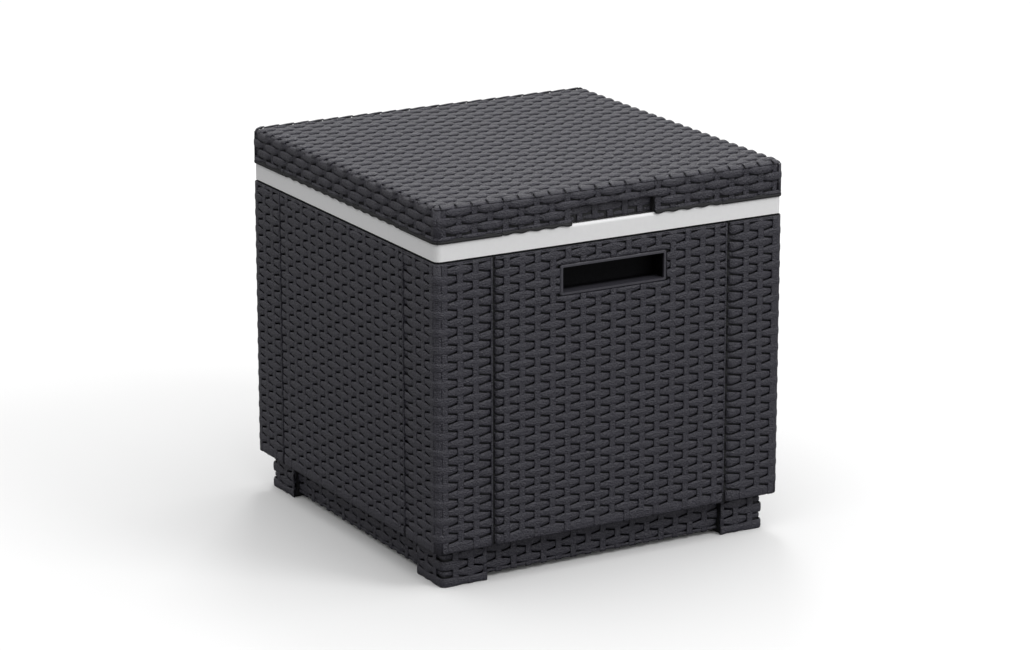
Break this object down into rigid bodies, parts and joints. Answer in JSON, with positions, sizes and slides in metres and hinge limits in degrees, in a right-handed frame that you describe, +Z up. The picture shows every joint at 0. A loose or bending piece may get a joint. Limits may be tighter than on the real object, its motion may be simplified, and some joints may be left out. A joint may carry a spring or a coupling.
{
  "type": "cooler table",
  "caption": "Cube-shaped insulated cooler with woven-look walls, recessed grips, a white tub with a floor drain, and a flat lift-off lid that serves as a side table.",
  "frame": {"origin": "on the floor under the middle of the cooler", "axes": "+Z up through the table top, -Y towards the front grip, +X to the right seen from the front"},
  "size_m": [0.42, 0.42, 0.41],
  "materials": {
    "woven_plastic": "satin",
    "dark_plastic": "satin",
    "white_plastic": "semi-gloss",
    "drain_plastic": "satin",
    "seal_rubber": "matt",
    "foam": "matt",
    "screw_steel": "zinc plated"
  },
  "bodies": {
    "cabinet": {"post_front_left": "woven_plastic", "post_front_right": "woven_plastic", "post_rear_left": "woven_plastic", "post_rear_right": "woven_plastic", "panel_front": "woven_plastic", "panel_rear": "woven_plastic", "panel_left": "woven_plastic", "panel_right": "woven_plastic", "base_plinth": "woven_plastic", "foot_front_left": "woven_plastic", "foot_front_right": "woven_plastic", "foot_rear_left": "woven_plastic", "foot_rear_right": "woven_plastic", "rim_frame": "white_plastic", "inner_tub": "white_plastic", "front_grip": "dark_plastic", "rear_grip": "dark_plastic", "foam_front": "foam", "foam_rear": "foam", "foam_left": "foam", "foam_right": "foam", "foam_base": "foam", "tub_screws": "screw_steel", "base_screws": "screw_steel", "drain_body": "drain_plastic", "drain_seal": "seal_rubber", "drain_nut": "drain_plastic"},
    "lid": {"lid_shell": "woven_plastic", "lid_liner": "white_plastic", "lid_foam": "foam", "lid_seal": "seal_rubber", "lid_screws": "screw_steel"},
    "drain_plug": {"drain_plug": "seal_rubber"}
  },
  "joints": [
    {"name": "lid_lift", "type": "slide", "parent": "cabinet", "child": "lid", "axis": [0, 0, 1], "range_m": [0, 0.35]},
    {"name": "plug_pull", "type": "slide", "parent": "cabinet", "child": "drain_plug", "axis": [0, 0, 1], "range_m": [0, 0.05]}
  ]
}
